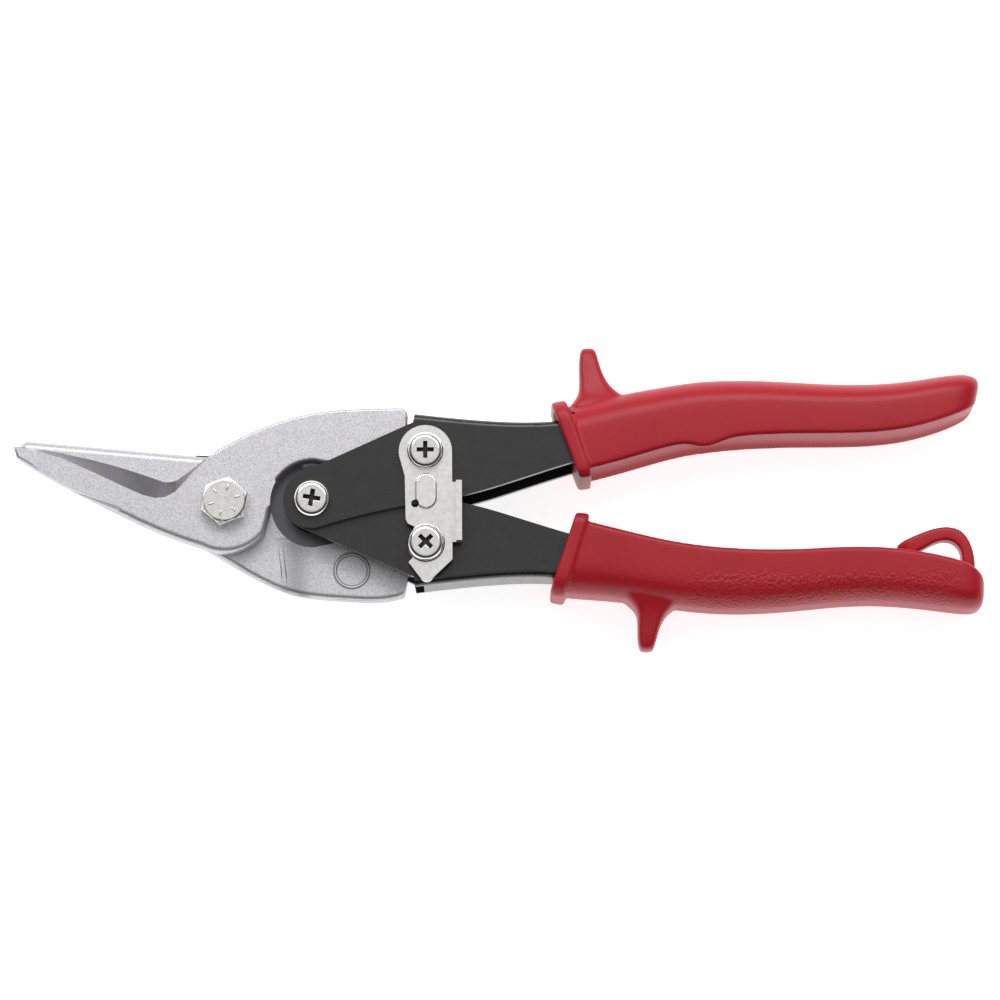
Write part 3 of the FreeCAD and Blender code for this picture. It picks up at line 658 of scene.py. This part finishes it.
def vinyl(name, pebbled=False):
    """Crimson vinyl, a little cloudy; the lower grip has a pebbled patch along its outer half."""
    material, tree, shader = new_material(name, Coat_Weight=0.14, Coat_Roughness=0.22,
                                          Specular_IOR_Level=0.28)
    place = node(tree, "ShaderNodeTexCoord").outputs["Object"]
    cloud = noise(tree, place, Scale=55.0, Detail=3.0)
    skin = noise(tree, place, Scale=900.0, Detail=3.0)
    link = tree.links.new
    link(tones(tree, cloud, (0.42, 0.0080, 0.0190), (0.52, 0.0100, 0.0240)), shader.inputs["Base Color"])
    link(ramp(tree, cloud, 0.0, 1.0, 0.36, 0.48), shader.inputs["Roughness"])
    bump = relief(tree, shader, skin, 0.08, 0.1 * MM)
    if not pebbled:
        return material
    pebbles = node(tree, "ShaderNodeTexVoronoi", Scale=1250.0, Randomness=1.0)
    link(place, pebbles.inputs["Vector"])
    axes = node(tree, "ShaderNodeSeparateXYZ")
    link(place, axes.inputs["Vector"])
    front = ramp(tree, axes.outputs["X"], 114 * MM, 121 * MM)
    back = ramp(tree, axes.outputs["X"], 190 * MM, 184 * MM)
    outer = ramp(tree, axes.outputs["Y"], -18.5 * MM, -21.5 * MM)
    patch = combine(tree, "MULTIPLY", combine(tree, "MULTIPLY", front, back), outer)
    leather = node(tree, "ShaderNodeBump", Distance=0.35 * MM)
    link(combine(tree, "MULTIPLY", patch, 0.75), leather.inputs["Strength"])
    link(pebbles.outputs["Distance"], leather.inputs["Height"])
    link(bump.outputs["Normal"], leather.inputs["Normal"])
    link(leather.outputs["Normal"], shader.inputs["Normal"])
    return material


upper_body = tube("upper_grip_body", [
    (92.2, 6.9, 85.6, 23.7, 1), (94.0, 7.3, 88.2, 24.4, 1), (103, 9.6, 101, 27.6, 1),
    (111.5, 12.2, 110.5, 29.2, 1), (118.6, 13.9, 118, 30.4, 1), (121.5, 14.3, 121.5, 30.8, 1),
    (125.5, 14.8, 125.5, 31.1, 1), (130, 15.3, 130, 31.2, 1), (138, 15.8, 138, 31.1, 1),
    (147, 16, 147, 30.5, 1), (157, 15.9, 157, 29.9, 1), (167, 16.1, 166.5, 29.8, 1),
    (176, 17.2, 176, 30.5, 1), (183.5, 19.3, 184, 31.9, 1), (188.5, 21.2, 190.4, 32.6, 0.96),
    (191.8, 22.8, 193.6, 31.6, 0.84), (193.2, 24.6, 194.4, 29.8, 0.62),
], 1, GRIP_HALF_WIDTH, inner_corner=1.4, outer_corner=8.0, trough=1.6)
lip_swell(upper_body, 1, 120, 127, 1.9)
apply_modifier(upper_body, "SUBSURF", levels=2, render_levels=2)
upper_rim = tube("upper_rim", [
    (90.9, 5.3, 83.8, 24.6, 0.97), (91.2, 5.1, 84.2, 25.2, 1), (93.7, 5.4, 87.1, 25.8, 1),
    (94.2, 5.8, 87.6, 25.4, 0.97),
], 1, RIM_HALF_WIDTH, inner_corner=2.6, outer_corner=5.5)
upper_guard = finger_guard("upper_guard", [
    (22, 86.5, 108, 9.5), (25.5, 89.4, 105.0, 8.5), (27.5, 90.8, 102.2, 7.4), (30, 91.2, 98.9, 6.6),
    (34, 91.1, 97.0, 5.8), (38, 91.2, 96.0, 5.2), (40.6, 91.8, 95.2, 4.0)], 1)
upper_hollow = tube("upper_hollow", [
    (80, 7.9, 76, 22.9, 1), (88, 9.0, 84, 22.7, 1), (101, 11.9, 100, 22.4, 1),
], 1, UPPER_MOUTH_HALF_WIDTH, inner_corner=0.05, outer_corner=1.8)
upper_grip = mould("upper_grip_skin", [upper_body, upper_rim, upper_guard], upper_hollow,
                   vinyl("crimson_vinyl"))
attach(upper_grip, "upper_handle")
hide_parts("upper_grip")

lower_body = tube("lower_grip_body", [
    (91.4, 5.6, 85.4, 23.7, 1), (93.4, 6.2, 88.0, 24.2, 1), (102, 8.4, 100.5, 25.0, 1),
    (111, 10.7, 110.5, 26.6, 1), (119.5, 12.3, 119.5, 27.9, 1), (128, 13.2, 128, 28.6, 1),
    (137, 13.7, 137, 28.5, 1), (147, 13.7, 147, 27.8, 1), (157, 13.1, 157, 26.7, 1),
    (167, 13.1, 167, 26.4, 1), (176, 14, 176, 27.1, 1), (184, 15.6, 184, 28.1, 1),
    (189.6, 17.1, 189.4, 28.9, 0.97), (193.0, 19.2, 192.7, 28.9, 0.88), (194.7, 22.0, 194.5, 27.4, 0.66),
], -1, GRIP_HALF_WIDTH, inner_corner=1.4, outer_corner=8.0, trough=1.6)
apply_modifier(lower_body, "SUBSURF", levels=2, render_levels=2)
lower_rim = tube("lower_rim", [
    (90.0, 4.0, 83.2, 24.2, 0.97), (90.4, 3.8, 83.6, 24.8, 1), (93.0, 4.1, 86.3, 25.4, 1),
    (93.5, 4.5, 86.9, 25.0, 0.97),
], -1, RIM_HALF_WIDTH, inner_corner=2.6, outer_corner=5.5)
lower_guard = finger_guard("lower_guard", [
    (22, 99, 121, 9.5), (25.5, 102.4, 118, 8.5), (27.5, 105, 114.8, 7.2), (30, 105.8, 112.2, 6.2),
    (34, 105.6, 110.9, 5.4), (37, 105.8, 110.1, 4.8), (38.7, 106.4, 109.4, 3.6)], -1)
hang_loop = tube("hang_loop", [
    (174, 15.5, 171, 11.8, 1), (179.6, 12.4, 177.5, 9.0, 1), (182.5, 10.8, 181.3, 7.5, 1),
    (185.2, 10.2, 185.6, 6.7, 1), (187.5, 11.0, 189.4, 7.8, 1), (188.8, 12.8, 191.4, 11, 1),
    (189.2, 15.4, 192.4, 14.8, 1), (188.8, 20, 192.6, 19.5, 1),
], -1, LOOP_HALF_WIDTH, inner_corner=0.7, outer_corner=0.7)
apply_modifier(hang_loop, "SUBSURF", levels=1, render_levels=1)
lower_hollow = tube("lower_hollow", [
    (80, 7.3, 76, 22.9, 1), (88, 8.6, 84, 22.6, 1), (101, 11.9, 100, 22.4, 1),
], -1, LOWER_MOUTH_HALF_WIDTH, inner_corner=0.05, outer_corner=1.8)
lower_grip = mould("lower_grip_skin", [lower_body, lower_rim, lower_guard, hang_loop], lower_hollow,
                   vinyl("crimson_vinyl_pebbled", pebbled=True))
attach(lower_grip, "lower_handle")
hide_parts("lower_grip")
